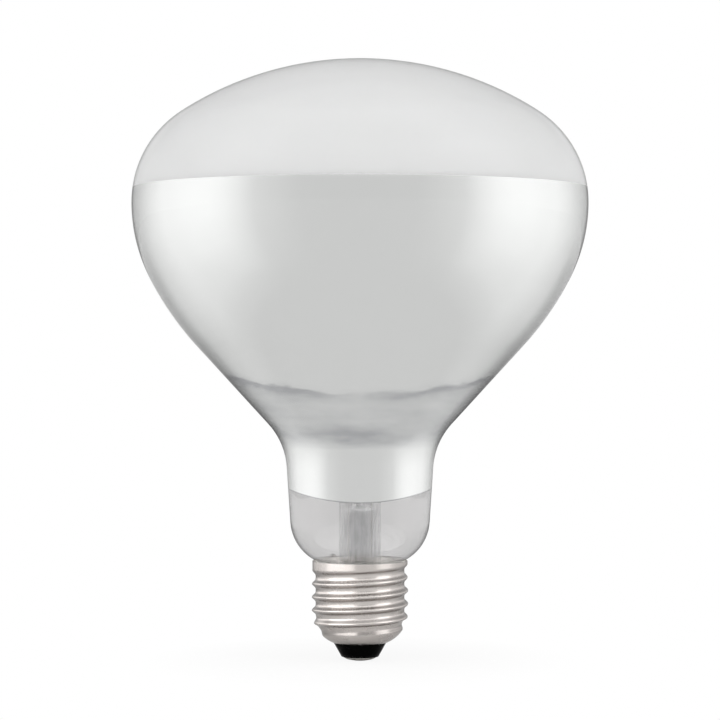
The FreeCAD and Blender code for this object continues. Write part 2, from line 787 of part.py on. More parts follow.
# The side lead turns under the seal, runs up against the glass and out over the cap's rim.
around = size("side_lead_turn")
offset = size("lead_offset")


def against_glass(centre, reach, degrees):
    """A point of the side lead's run, reach away from the centre of one of the bulb's arcs."""
    at = centre + polar(reach, degrees)
    return polar(at.x, around) + UP * at.y


heel = spot("heel_centre_radius", "heel_centre_height")
ankle = spot("ankle_centre_radius", "ankle_centre_height")
drop = math.degrees(math.atan2(heel.y - ankle.y, ankle.x - heel.x))
reach = size("rim_radius + side_solder_radius / 2 - heel_centre_radius")
last = math.degrees(math.acos(reach / size("heel_radius + lead_offset")))
tight, wide = size("ankle_radius") - offset, size("heel_radius") + offset
foot = polar(size("neck_tube_radius") + offset, around)
points = [
    UP * size("weld_height") - across,
    UP * size("side_lead_low") - across,
    UP * size("side_lead_low") + foot,
    UP * ankle.y + foot,
]
under_rim = Part.Arc(
    points[-1],
    against_glass(ankle, tight, HALF_TURN - drop / 2),
    against_glass(ankle, tight, HALF_TURN - drop),
).toShape()
over_rim = Part.Arc(
    against_glass(heel, wide, -drop),
    against_glass(heel, wide, -(drop + last) / 2),
    against_glass(heel, wide, -last),
).toShape()
run = wire_path(points, [bend, bend]) + [under_rim, over_rim]
keep(drawn_wire("outer_lead_side", run, "outer_lead_radius"))

# Solder where the side lead comes out: a drop on the rim, clear of the glass above it.
solder_drop = doc.addObject("Part::Sphere", "solder_drop")
set_sizes(solder_drop, Radius="side_solder_radius")
drop_centre = polar(size("rim_radius + side_solder_radius / 4"), around)
solder_drop.Placement.Base = drop_centre + UP * size("cap_height - side_solder_radius / 4")
rim_form = rod("rim_form", "rim_radius + shell_clearance", "2 * cap_height", FreeCAD.Vector())
heel_form = turned_piece(
    "heel_form",
    [
        ("0", "heel_centre_height - heel_radius - shell_clearance"),
        ("heel_centre_radius", "heel_centre_height - heel_radius - shell_clearance"),
        ("heel_centre_radius + heel_radius + shell_clearance", "heel_centre_height"),
        ("0", "heel_centre_height"),
    ],
    arcs={1: "heel_radius + shell_clearance"},
)
lead_hole = drawn_wire("lead_hole", [over_rim], "outer_lead_radius + channel_clearance")
side_solder = solder_drop
for name, form in (
    ("drop_on_rim", rim_form), ("drop_under_glass", heel_form), ("side_solder", lead_hole)
):
    cut = doc.addObject("Part::Cut", name)
    cut.Base = side_solder
    cut.Tool = form
    side_solder = cut
keep(side_solder)

# Cement ring between the glass and the shell, up to just below the rim, with a slot for the
# side lead along the same path.
cement = turned_piece(
    "cement",
    [
        ("cement_inner_radius", "cement_foot"),
        ("cement_outer_radius", "cement_foot"),
        ("cement_outer_radius", "cement_top"),
        ("cement_top_radius", "cement_top"),
        ("cement_inner_radius", "ankle_centre_height"),
    ],
    arcs={3: "ankle_radius - cement_clearance"},
)
slot_radius = "lead_offset + cement_clearance"
slot_run = rod("slot_run", slot_radius, "ankle_centre_height - side_lead_low", points[-2])
slot_bend = doc.addObject("Part::Torus", "slot_bend")
set_sizes(slot_bend, Radius1="ankle_radius - lead_offset", Radius2=slot_radius)
slot_bend.Angle3 = drop
inwards = FreeCAD.Rotation(-polar(1, around), UP, FreeCAD.Vector(), "XYZ")
slot_bend.Placement = FreeCAD.Placement(against_glass(ankle, 0, 0), inwards)
slot = doc.addObject("Part::MultiFuse", "lead_slot")
slot.Shapes = [slot_run, slot_bend]
cement_ring = doc.addObject("Part::Cut", "cement_ring")
cement_ring.Base = cement
cement_ring.Tool = slot
keep(cement_ring)

doc.recompute()
for piece in doc.Objects:
    if {"Invalid", "Error"} & set(piece.State):
        raise RuntimeError(f"{piece.Label} did not build: {piece.State}")
for piece in nodes:
    shape = piece.Shape
    if shape.isNull() or not shape.isValid() or shape.Volume <= 0:
        raise RuntimeError(f"{piece.Label} has no sound shape")

os.makedirs("parts", exist_ok=True)
for piece in nodes:
    piece.Shape.exportStep(f"parts/{piece.Label}.step")
print(f"{len(nodes)} sub-parts written")
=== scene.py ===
import math

import bmesh
import bpy
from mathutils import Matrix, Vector


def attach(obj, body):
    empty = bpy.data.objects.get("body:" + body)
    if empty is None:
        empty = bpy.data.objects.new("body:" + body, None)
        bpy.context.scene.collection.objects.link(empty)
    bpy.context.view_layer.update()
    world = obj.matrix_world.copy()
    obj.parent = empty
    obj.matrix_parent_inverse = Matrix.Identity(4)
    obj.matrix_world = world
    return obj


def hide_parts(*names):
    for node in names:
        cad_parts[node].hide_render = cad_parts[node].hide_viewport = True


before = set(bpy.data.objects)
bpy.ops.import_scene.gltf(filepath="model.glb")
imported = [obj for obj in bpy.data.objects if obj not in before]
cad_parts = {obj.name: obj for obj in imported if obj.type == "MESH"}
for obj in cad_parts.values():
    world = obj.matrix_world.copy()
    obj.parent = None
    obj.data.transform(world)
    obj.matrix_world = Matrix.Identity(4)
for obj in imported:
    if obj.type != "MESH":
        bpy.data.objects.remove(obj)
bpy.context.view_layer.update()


# Stem: the lead glass tube that closes the bulb. It is flared and sealed to the neck at its
# foot, and its top is pressed flat round the leads while it is hot. The hollow tube that the
# air was pumped out through hangs inside it, drawn off to a closed tip.
def put(tree, kind, values=None, **settings):
    """Add a node with its settings, and give its inputs numbers or links."""
    node = tree.nodes.new(kind)
    for name, value in settings.items():
        setattr(node, name, value)
    for name, value in (values or {}).items():
        if isinstance(value, bpy.types.NodeSocket):
            tree.links.new(value, node.inputs[name])
        else:
            node.inputs[name].default_value = value
    return node


def node_group(name, kind, inputs, outputs):
    """A node group with named sockets, and its two end nodes."""
    group = bpy.data.node_groups.new(name, kind)
    for label, (socket, value) in inputs.items():
        made = group.interface.new_socket(label, in_out="INPUT", socket_type=socket)
        if value is not None:
            made.default_value = value
    for label, socket in outputs.items():
        group.interface.new_socket(label, in_out="OUTPUT", socket_type=socket)
    return group, group.nodes.new("NodeGroupInput").outputs, group.nodes.new("NodeGroupOutput")


def uneven_surface():
    """Shared effect: soft noise between two values, for finishes that aren't even."""
    group, given, result = node_group(
        "uneven surface",
        "ShaderNodeTree",
        {
            "Vector": ("NodeSocketVector", None),
            "Scale": ("NodeSocketFloat", 100.0),
            "Low": ("NodeSocketFloat", 0.0),
            "High": ("NodeSocketFloat", 1.0),
        },
        {"Value": "NodeSocketFloat", "Height": "NodeSocketFloat"},
    )
    noise = put(
        group, "ShaderNodeTexNoise",
        {"Vector": given["Vector"], "Scale": given["Scale"], "Detail": 3.0, "Roughness": 0.55},
    )
    spread = put(
        group, "ShaderNodeMapRange",
        {
            "Value": noise.outputs[0], "From Min": 0.3, "From Max": 0.7,
            "To Min": given["Low"], "To Max": given["High"],
        },
    )
    group.links.new(spread.outputs[0], result.inputs["Value"])
    group.links.new(noise.outputs[0], result.inputs["Height"])
    return group


UNEVEN = uneven_surface()


def finish(name, colour, **sockets):
    """A material with a colour and plain values on its shader."""
    material = bpy.data.materials.new(name)
    material.use_nodes = True
    shader = material.node_tree.nodes["Principled BSDF"]
    shader.inputs["Base Color"].default_value = (*colour, 1.0)
    for label, value in sockets.items():
        shader.inputs[label.replace("_", " ")].default_value = value
    place = material.node_tree.nodes.new("ShaderNodeTexCoord").outputs["Object"]
    return material, material.node_tree, shader, place


def uneven(tree, place, scale, low, high):
    """One use of the uneven surface in a material."""
    return put(
        tree, "ShaderNodeGroup", {"Vector": place, "Scale": scale, "Low": low, "High": high},
        node_tree=UNEVEN,
    ).outputs


def stretched(tree, place, upward):
    """Coordinates for a pattern whose marks run upwards, below 1, or round the lamp, above 1."""
    return put(
        tree, "ShaderNodeVectorMath", {0: place, 1: (1.0, 1.0, upward)}, operation="MULTIPLY"
    ).outputs[0]


def two_colours(tree, factor, first, second):
    """A colour between two, by a factor. Either colour may be a link."""
    values = {
        "Factor": factor,
        "A": first if isinstance(first, bpy.types.NodeSocket) else (*first, 1.0),
        "B": second if isinstance(second, bpy.types.NodeSocket) else (*second, 1.0),
    }
    mix = tree.nodes.new("ShaderNodeMix")
    mix.data_type = "RGBA"
    for label, value in values.items():
        socket = next(s for s in mix.inputs if s.name == label and s.enabled)
        if isinstance(value, bpy.types.NodeSocket):
            tree.links.new(value, socket)
        else:
            socket.default_value = value
    return next(s for s in mix.outputs if s.enabled)


def bumped(tree, shader, height, distance, strength):
    """Raise the surface by a height."""
    bump = put(
        tree, "ShaderNodeBump", {"Height": height, "Distance": distance, "Strength": strength}
    )
    tree.links.new(bump.outputs["Normal"], shader.inputs["Normal"])


SHARP_EDGE = math.radians(35)


def smoothed(node, material, slot):
    """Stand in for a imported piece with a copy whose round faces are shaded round."""
    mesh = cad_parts[node].data.copy()
    form = bmesh.new()
    form.from_mesh(mesh)
    bmesh.ops.remove_doubles(form, verts=form.verts, dist=2e-6)
    form.to_mesh(mesh)
    form.free()
    mesh.shade_smooth()
    mesh.set_sharp_from_angle(angle=SHARP_EDGE)
    return set_in_place(bpy.data.objects.new(node + "_finished", mesh), material, slot, node)


def set_in_place(piece, material, slot, *nodes):
    """Give a finished piece its material and its place on the lamp."""
    piece.data.materials.clear()
    piece.data.materials.append(material)
    if piece.name not in bpy.context.scene.collection.objects:
        bpy.context.scene.collection.objects.link(piece)
    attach(piece, "root")
    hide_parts(*nodes)
    return piece


stem_glass, tree, shader, place = finish(
    "pressed stem glass", (0.98, 0.985, 0.99), Roughness=0.08, IOR=1.45, Transmission_Weight=1.0
)
drawn = stretched(tree, place, 0.12)
lines = uneven(tree, drawn, 3000, 0, 1)
bumped(tree, shader, lines["Height"], 0.0002, 0.8)
tree.links.new(uneven(tree, drawn, 1900, 0.05, 0.7)["Value"], shader.inputs["Alpha"])
streaked = two_colours(tree, lines["Value"], (1.0, 1.0, 1.0), (0.38, 0.39, 0.41))
tree.links.new(streaked, shader.inputs["Base Color"])
smoothed("stem_tube", stem_glass, "clear_glass")

tube_glass, tree, shader, place = finish(
    "drawn tube glass", (0.97, 0.975, 0.98), Roughness=0.03, IOR=1.5, Transmission_Weight=1.0,
    Alpha=0.3,
)
bumped(tree, shader, uneven(tree, place, 400, 0, 1)["Height"], 0.0001, 0.3)
smoothed("exhaust_tube", tube_glass, "clear_glass")


# Leads: each is three wires welded end to end. Copper runs to the cap, a short copper-clad
# wire passes through the pressed glass, and a stout nickel wire carries the filament.
def patchy_gloss(tree, shader, place, scale, low, high):
    """Let the roughness wander between two values over the surface."""
    patches = uneven(tree, place, scale, low, high)
    tree.links.new(patches["Value"], shader.inputs["Roughness"])
    return patches


copper, tree, shader, place = finish("tinned copper", (0.62, 0.58, 0.55), Metallic=1.0)
dull = patchy_gloss(tree, shader, place, 900, 0.28, 0.48)
tarnish = two_colours(tree, dull["Height"], (0.68, 0.65, 0.62), (0.50, 0.44, 0.40))
tree.links.new(tarnish, shader.inputs["Base Color"])

nickel_wire, tree, shader, place = finish("drawn nickel", (0.60, 0.58, 0.55), Metallic=1.0)
drawn = patchy_gloss(tree, shader, place, 1200, 0.2, 0.4)
bumped(tree, shader, drawn["Height"], 0.00002, 0.6)

for side in ("left", "right"):
    smoothed(f"seal_wire_{side}", copper, "copper")
    smoothed(f"inner_lead_{side}", nickel_wire, "lead_wire")
side_lead = smoothed("outer_lead_side", copper, "copper")
smoothed("outer_lead_centre", copper, "copper")


# Filament mount: a glass rod stands on the pressed stem. Its top is softened and upset into a
# button, and five thin molybdenum wires are pushed into it and bent round the filament.
rod_glass, tree, shader, place = finish(
    "drawn rod glass", (0.95, 0.955, 0.95), Roughness=0.02, IOR=1.52, Transmission_Weight=1.0
)
bumped(tree, shader, uneven(tree, place, 300, 0, 1)["Height"], 0.0002, 0.4)
smoothed("support_rod", rod_glass, "clear_glass")

hook_metal, tree, shader, place = finish("molybdenum wire", (0.50, 0.49, 0.47), Metallic=1.0)
patchy_gloss(tree, shader, place, 1500, 0.32, 0.5)
for number in range(1, 6):
    smoothed(f"support_wire_{number}", hook_metal, "hook_wire")


# Filament: fine tungsten wire wound in one long close coil, bent into most of a ring and
# clamped in the ends of the two leads.
def made_by(tree, name, **inputs):
    """Run a Geometry Nodes tree with these inputs, and keep the result as a plain object."""
    piece = bpy.data.objects.new(name, bpy.data.meshes.new(name))
    bpy.context.scene.collection.objects.link(piece)
    modifier = piece.modifiers.new("maker", "NODES")
    modifier.node_group = tree
    sockets = {
        item.name: item.identifier
        for item in tree.interface.items_tree
        if item.item_type == "SOCKET" and item.in_out == "INPUT"
    }
    for label, value in inputs.items():
        modifier[sockets[label.replace("_", " ")]] = value
    bpy.context.view_layer.update()
    ready = piece.evaluated_get(bpy.context.evaluated_depsgraph_get())
    mesh = bpy.data.meshes.new_from_object(ready)
    piece.modifiers.remove(modifier)
    piece.data = mesh
    return piece


def worked(tree, operation, *values):
    """One step of arithmetic in a tree."""
    return put(tree, "ShaderNodeMath", dict(enumerate(values)), operation=operation).outputs[0]


def made_real(tree, geometry, given, result):
    """End a tree with real faces that carry its material."""
    real = put(tree, "GeometryNodeRealizeInstances", {"Geometry": geometry})
    set_finish = put(
        tree, "GeometryNodeSetMaterial",
        {"Geometry": real.outputs[0], "Material": given["Material"]},
    )
    tree.links.new(set_finish.outputs[0], result.inputs[0])
    return tree


def wound_wire():
    """A wire wound in a coil along an arc about the lamp's axis."""
    tree, given, result = node_group(
        "wound wire",
        "GeometryNodeTree",
        {
            "Arc Radius": ("NodeSocketFloat", 0.014),
            "Arc Start": ("NodeSocketFloat", 0.0),
            "Arc Sweep": ("NodeSocketFloat", 5.0),
            "Height": ("NodeSocketFloat", 0.1),
            "Coil Radius": ("NodeSocketFloat", 0.0007),
            "Wire Radius": ("NodeSocketFloat", 0.00005),
            "Turns": ("NodeSocketInt", 200),
            "Points a Turn": ("NodeSocketInt", 10),
            "Material": ("NodeSocketMaterial", None),
        },
        {"Geometry": "NodeSocketGeometry"},
    )
    count = worked(tree, "MULTIPLY_ADD", given["Turns"], given["Points a Turn"], 1.0)
    line = put(tree, "GeometryNodeCurvePrimitiveLine")
    run = put(tree, "GeometryNodeResampleCurve", {"Curve": line.outputs[0], "Count": count})
    along = worked(
        tree, "DIVIDE",
        tree.nodes.new("GeometryNodeInputIndex").outputs[0], worked(tree, "SUBTRACT", count, 1.0),
    )
    turn = worked(tree, "MULTIPLY", worked(tree, "MULTIPLY", along, given["Turns"]), math.tau)
    across = worked(tree, "MULTIPLY", worked(tree, "COSINE", turn), given["Coil Radius"])
    upward = worked(tree, "MULTIPLY", worked(tree, "SINE", turn), given["Coil Radius"])
    reach = worked(tree, "ADD", given["Arc Radius"], across)
    around = worked(tree, "MULTIPLY_ADD", along, given["Arc Sweep"], given["Arc Start"])
    spot = put(
        tree, "ShaderNodeCombineXYZ",
        {
            "X": worked(tree, "MULTIPLY", reach, worked(tree, "COSINE", around)),
            "Y": worked(tree, "MULTIPLY", reach, worked(tree, "SINE", around)),
            "Z": worked(tree, "ADD", given["Height"], upward),
        },
    )
    coil = put(
        tree, "GeometryNodeSetPosition",
        {"Geometry": run.outputs[0], "Position": spot.outputs[0]},
    )
    ring = put(
        tree, "GeometryNodeCurvePrimitiveCircle",
        {"Resolution": 6, "Radius": given["Wire Radius"]},
    )
    wire = put(
        tree, "GeometryNodeCurveToMesh",
        {"Curve": coil.outputs[0], "Profile Curve": ring.outputs[0], "Fill Caps": True},
    )
    return made_real(tree, wire.outputs[0], given, result)


tungsten, tree, shader, place = finish("tungsten wire", (0.32, 0.31, 0.30), Metallic=1.0)
patchy_gloss(tree, shader, place, 2000, 0.3, 0.55)
FILAMENT_SWEEP = math.radians(300)
filament = made_by(
    wound_wire(), "filament_coil",
    Arc_Radius=0.014, Arc_Start=math.pi / 2 - FILAMENT_SWEEP / 2, Arc_Sweep=FILAMENT_SWEEP,
    Height=0.105, Coil_Radius=0.00072, Wire_Radius=0.00007, Turns=250, Points_a_Turn=9,
    Material=tungsten,
)
filament.data.shade_smooth()
set_in_place(filament, tungsten, "tungsten", "filament")


# Envelope: one blown bulb of clear soft glass. Its face is a shallow dome, the sides draw in to
# a straight neck, and the neck's foot is melted onto the stem inside the cap.
def rows_of_outline(tree, given, way_round):
    """A grid with a row for each point of an outline, and each vertex's row and place round."""
    outline = put(tree, "GeometryNodeObjectInfo", {"Object": given["Outline"]}).outputs["Geometry"]
    points = put(
        tree, "GeometryNodeAttributeDomainSize", {"Geometry": outline}, component="MESH"
    ).outputs["Point Count"]
    gaps = worked(tree, "SUBTRACT", points, 1.0)
    grid = put(
        tree, "GeometryNodeMeshGrid",
        {
            "Size X": gaps, "Size Y": way_round, "Vertices X": points,
            "Vertices Y": worked(tree, "ADD", given["Steps Round"], 1.0),
        },
    ).outputs["Mesh"]
    position = tree.nodes.new("GeometryNodeInputPosition").outputs[0]
    at = put(tree, "ShaderNodeSeparateXYZ", {"Vector": position}).outputs
    row = worked(tree, "ROUND", worked(tree, "MULTIPLY_ADD", gaps, 0.5, at["X"]))
    return outline, grid, position, row, at["Y"]


def turned_form():
    """A tree that turns an outline about the lamp's axis: its points are (out, 0, up)."""
    tree, given, result = node_group(
        "turned form",
        "GeometryNodeTree",
        {
            "Outline": ("NodeSocketObject", None),
            "Steps Round": ("NodeSocketInt", 240),
            "Material": ("NodeSocketMaterial", None),
        },
        {"Geometry": "NodeSocketGeometry"},
    )
    outline, grid, position, row, angle = rows_of_outline(tree, given, math.tau)
    on_outline = put(
        tree, "GeometryNodeSampleIndex",
        {"Geometry": outline, "Index": row, "Value": position},
        data_type="FLOAT_VECTOR", domain="POINT",
    )
    turned = put(
        tree, "ShaderNodeVectorRotate",
        {"Vector": on_outline.outputs[0], "Angle": angle},
        rotation_type="Z_AXIS",
    )
    moved = put(
        tree, "GeometryNodeSetPosition", {"Geometry": grid, "Position": turned.outputs[0]}
    )
    closed = put(
        tree, "GeometryNodeMergeByDistance", {"Geometry": moved.outputs[0], "Distance": 1e-6}
    )
    return made_real(tree, closed.outputs[0], given, result)


TURNED_FORM = turned_form()


def outline_of(points):
    """A temporary object that holds an outline's points in order."""
    mesh = bpy.data.meshes.new("outline")
    mesh.from_pydata([(out, 0, up) for out, up in points], [], [])
    return bpy.data.objects.new("outline", mesh)


def faced_out(piece, sharp):
    """Point a closed piece's faces outwards, and shade all but its sharp edges round."""
    form = bmesh.new()
    form.from_mesh(piece.data)
    bmesh.ops.recalc_face_normals(form, faces=form.faces)
    form.to_mesh(piece.data)
    form.free()
    piece.data.shade_smooth()
    piece.data.set_sharp_from_angle(angle=sharp)


def turned(name, points, material, steps=256):
    """Turn a closed outline into a solid piece with outward faces."""
    outline = outline_of(points)
    piece = made_by(TURNED_FORM, name, Outline=outline, Steps_Round=steps, Material=material)
    bpy.data.objects.remove(outline)
    faced_out(piece, SHARP_EDGE)
    return piece


# Centre out and up, radius, first and last angle of each arc, and whether it is hollow.
BULB_ARCS = (
    (0.0, 0.0746355, 0.090, 90.0, 56.892, False),
    (0.0331, 0.1253975, 0.0294, 56.892, 0.0, False),
    (0.017, 0.1253975, 0.0455, 0.0, -26.4, False),
    (-0.0162309, 0.1418933, 0.0826, -26.4, -42.5, False),
    (0.0396078, 0.0516148, 0.01956, 137.5, 176.25, True),
    (0.006527, 0.0386182, 0.0126, -3.75, -64.174, False),
    (0.013105, 0.0250263, 0.0025, 115.826, 180.0, True),
)
SEAL_HEIGHT = 0.0165
ARC_STEP = 0.0014


def bulb_outline(depth):
    """The bulb's outline at one depth in its wall, from the crown down to the seal."""
    points = []
    for centre_out, centre_up, radius, first, last, hollow in BULB_ARCS:
        radius += depth if hollow else -depth
        steps = max(12, round(abs(math.radians(last - first)) * radius / ARC_STEP))
        for i in range(steps + 1):
            angle = math.radians(first + (last - first) * i / steps)
            spot = (centre_out + radius * math.cos(angle), centre_up + radius * math.sin(angle))
            points.append(spot)
    points[0] = (0.0, points[0][1])
    points.append((points[-1][0], SEAL_HEIGHT))
    return points


# Drawn a quarter of a millimetre thick, thinner than the real wall, so that the neck stays clear.
GLASS_WALL = 0.00025
bulb_glass, tree, shader, place = finish(
    "blown bulb glass", (0.97, 0.975, 0.97), Roughness=0.0, IOR=1.52, Transmission_Weight=1.0
)
bumped(tree, shader, uneven(tree, place, 45, 0, 1)["Height"], 0.0002, 0.15)
# The mirror's lower edge, which bows down to the front and back; the glass below it is hazy.
MIRROR_FOOT = 0.0470441
MASK_RADIUS = 0.066
HAZE_FADE = 0.0002
parts = put(tree, "ShaderNodeSeparateXYZ", {"Vector": place}).outputs
off_axis = worked(tree, "MULTIPLY", parts["Y"], parts["Y"])
bowed = worked(tree, "MULTIPLY", off_axis, 0.5 / MASK_RADIUS)
haze = put(
    tree, "ShaderNodeMapRange",
    {
        "Value": worked(tree, "ADD", parts["Z"], bowed),
        "From Min": MIRROR_FOOT + HAZE_FADE, "From Max": MIRROR_FOOT - HAZE_FADE,
    },
).outputs[0]
smoke = two_colours(tree, haze, (0.985, 0.99, 0.985), (0.865, 0.86, 0.86))
tree.links.new(smoke, shader.inputs["Base Color"])
envelope = turned("bulb_glass", bulb_outline(0) + bulb_outline(GLASS_WALL)[::-1], bulb_glass)
set_in_place(envelope, bulb_glass, "clear_glass", "envelope")


# Frosted lining: a white silica powder coated on the inside of the bulb's face, which spreads
# the light. It stops at a sharp line just above the widest part, where the mirror begins.
LINING_DEPTH = 0.00023
LINING_WALL = 0.0002
MIRROR_TOP = 0.1294375
LINING_FOOT = 0.1294475


def between(points, low, high):
    """The stretch of a falling outline between two heights."""
    kept = []
    for (out, up), (next_out, next_up) in zip(points, points[1:]):
        for level in (high, low):
            if next_up < level <= up:
                share = (up - level) / (up - next_up)
                kept.append((out + (next_out - out) * share, level))
        if low < next_up < high:
            kept.append((next_out, next_up))
    return kept


def skin_outline(low, high):
    """A closed outline of the thin lining between two heights."""
    outer = bulb_outline(LINING_DEPTH)
    inner = bulb_outline(LINING_DEPTH + LINING_WALL)
    skin = between(outer, low, high)
    if high > outer[0][1]:
        skin = [outer[0]] + skin
    back = between(inner, low, high)
    if high > inner[0][1]:
        return skin + back[::-1] + [inner[0]]
    return skin + back[::-1] + [skin[0]]


frosting, tree, shader, place = finish(
    "white silica frosting", (0.98, 0.98, 0.98), Roughness=0.75, Emission_Strength=1.0
)
powder = uneven(tree, place, 60, 0, 1)
chalk = two_colours(tree, powder["Value"], (0.975, 0.975, 0.98), (0.985, 0.985, 0.985))
tree.links.new(chalk, shader.inputs["Base Color"])
bumped(tree, shader, uneven(tree, place, 2500, 0, 1)["Height"], 0.00002, 0.3)
# The lining has a painted glow, though it is no lamp: faint on its outer side and strong on its
# inner side, in place of the light that reaches it through the glass.
inner_mark = put(tree, "ShaderNodeAttribute", attribute_name="inner side").outputs["Fac"]
spread = worked(tree, "MULTIPLY_ADD", inner_mark, 0.7, 0.1)
tree.links.new(spread, shader.inputs["Emission Color"])
lining = turned("frosting", skin_outline(LINING_FOOT, 1.0), frosting)
bulb_middle = Vector((0, 0, 0.12))
inner_side = [
    float(face.normal.dot(face.center - bulb_middle) < 0) for face in lining.data.polygons
]
marks = lining.data.attributes.new("inner side", "FLOAT", "FACE")
marks.data.foreach_set("value", inner_side)
set_in_place(lining, frosting, "frosting", "frosted_lining")


# Mirror film: aluminium evaporated onto the inside of the glass, from just above the widest part
# to the neck. A round form masks the neck, so the film's lower edge dips at front and back.
MIRROR_LOWEST = 0.0443
EDGE_HOLD = 0.050
EDGE_WIDTH = 0.0004
# Where a darker band is painted into the film's colour above the neck, as a painted reflection of
# the shade below the lamp: its foot, its height, and its reach to either side.
BAND_FOOT, BAND_HEIGHT = 0.0568, 0.02
BAND_REACH, WAVY_LINE_REACH, WAVY_LINE_BOW = 0.02, 0.04, 170.0


def ramp(tree, factor, stops):
    """A brightness that changes with a factor through stops of (place, brightness)."""
    node = put(tree, "ShaderNodeValToRGB", {0: factor})
    elements = node.color_ramp.elements
    for i, (spot, level) in enumerate(stops):
        stop = elements[i] if i < 2 else elements.new(spot)
        stop.position = spot
        stop.color = (level, level, level, 1)
    return node.outputs[0]


silver, tree, shader, place = finish("evaporated aluminium", (0.90, 0.905, 0.90), Metallic=1.0)
patchy_gloss(tree, shader, place, 28, 0.05, 0.09)
drift = uneven(tree, stretched(tree, place, 3.0), 90, -0.04, 0.04)["Value"]
streaks = uneven(tree, stretched(tree, place, 4.0), 70, -0.4, 0.4)["Value"]
parts = put(tree, "ShaderNodeSeparateXYZ", {"Vector": place}).outputs
level = worked(tree, "MULTIPLY_ADD", parts["Z"], 1 / BAND_HEIGHT, -BAND_FOOT / BAND_HEIGHT)
level = worked(tree, "MULTIPLY_ADD", level, drift, level)
off_axis = worked(tree, "MULTIPLY", parts["X"], parts["X"])
wavy_line_level = worked(tree, "SUBTRACT", level, worked(tree, "MULTIPLY", off_axis, WAVY_LINE_BOW))
# Painted reflection: a darker band above the neck, strongest at the middle across the lamp,
# standing in for the shade below the lamp seen in the mirror.
painted_reflection_and_line = ramp(
    tree, level,
    [(0.0, 0.0), (0.085, 0.0), (0.17, 0.8), (0.2, 0.85), (0.3, 0.8), (0.38, 0.5), (0.46, 0.2),
     (0.8, 0.1), (0.9, 0.0)],
)
across = worked(tree, "ABSOLUTE", parts["X"])
middle = ramp(
    tree, worked(tree, "MULTIPLY", across, 1 / BAND_REACH),
    [(0.0, 1.0), (0.15, 1.0), (0.4, 0.6), (0.75, 0.35), (1.0, 0.3)],
)
# A wavy darker line higher up, curved across the lamp and darker towards either side.
wavy_line = ramp(
    tree, wavy_line_level,
    [(0.0, 0.0), (0.12, 0.0), (0.2, 0.3), (0.68, 0.32), (0.76, 0.5), (0.81, 0.9), (0.84, 0.95),
     (0.875, 0.15), (0.93, 0.0), (1.0, 0.0)],
)
wavy_line_sides = ramp(
    tree, worked(tree, "MULTIPLY", across, 1 / WAVY_LINE_REACH),
    [(0.0, 0.3), (0.2, 0.75), (0.6, 1.0), (1.0, 1.0)],
)
painted_reflection_and_line = worked(tree, "MULTIPLY", painted_reflection_and_line, middle)
painted_reflection_and_line = worked(tree, "MULTIPLY_ADD", wavy_line, wavy_line_sides, painted_reflection_and_line)
painted_reflection_and_line = worked(tree, "MULTIPLY_ADD", painted_reflection_and_line, streaks, painted_reflection_and_line)
edge_mark = put(tree, "ShaderNodeAttribute", attribute_name="above edge").outputs["Fac"]
edge_line = worked(tree, "MULTIPLY", edge_mark, 1 / EDGE_WIDTH)
edge_line = put(tree, "ShaderNodeClamp", {"Value": edge_line}).outputs[0]
# The film's colour, darkened by the painted reflection and the wavy line, with a dark line along
# its lower edge.
mirror_colour = two_colours(tree, painted_reflection_and_line, (0.90, 0.905, 0.90), (0.55, 0.555, 0.57))
mirror_colour = two_colours(tree, edge_line, (0.30, 0.30, 0.31), mirror_colour)
tree.links.new(mirror_colour, shader.inputs["Base Color"])
mirror_film = turned("mirror", skin_outline(MIRROR_LOWEST, MIRROR_TOP), silver)
NECK_LEAN = math.tan(math.radians(3.75))
above_edge = []
for vertex in mirror_film.data.vertices:
    spot = vertex.co
    off_middle = min(abs(spot.y), MASK_RADIUS)
    edge = MIRROR_FOOT - MASK_RADIUS + math.sqrt(MASK_RADIUS**2 - off_middle**2)
    if spot.z < EDGE_HOLD:
        share = (EDGE_HOLD - edge) / (EDGE_HOLD - MIRROR_LOWEST)
        height = EDGE_HOLD - (EDGE_HOLD - spot.z) * share
        out = math.hypot(spot.x, spot.y)
        grown = 1 + (height - spot.z) * NECK_LEAN / out
        spot.x, spot.y, spot.z = spot.x * grown, spot.y * grown, height
    above_edge.append(spot.z - edge)
distances = mirror_film.data.attributes.new("above edge", "FLOAT", "POINT")
distances.data.foreach_set("value", above_edge)
set_in_place(mirror_film, silver, "mirror", "mirror_film")


# Cement ring: baked resin paste that holds the cap on the bulb's neck. The cap is pressed on
# while the paste is soft, which squeezes a small lip of it up under the rim.
cement, tree, shader, place = finish("baked cement", (0.82, 0.80, 0.77), Roughness=0.8)
grain = uneven(tree, place, 700, 0, 1)
paste = two_colours(tree, grain["Value"], (0.86, 0.84, 0.81), (0.76, 0.74, 0.70))
tree.links.new(paste, shader.inputs["Base Color"])
bumped(tree, shader, grain["Height"], 0.0001, 0.8)
cement_ring = smoothed("cement_ring", cement, "cement")
# The lip's section, out and up, from its inner foot round to the top.
squeezed = turned(
    "squeezed_cement",
    [(0.01112, 0.0262), (0.01272, 0.0262), (0.01272, 0.02705), (0.0123, 0.02688),
     (0.0118, 0.02682), (0.01134, 0.02675), (0.01112, 0.0262)],
    cement, steps=240,
)
form = bmesh.new()
form.from_mesh(cement_ring.data)
form.from_mesh(squeezed.data)
form.to_mesh(cement_ring.data)
form.free()
bpy.data.objects.remove(squeezed)


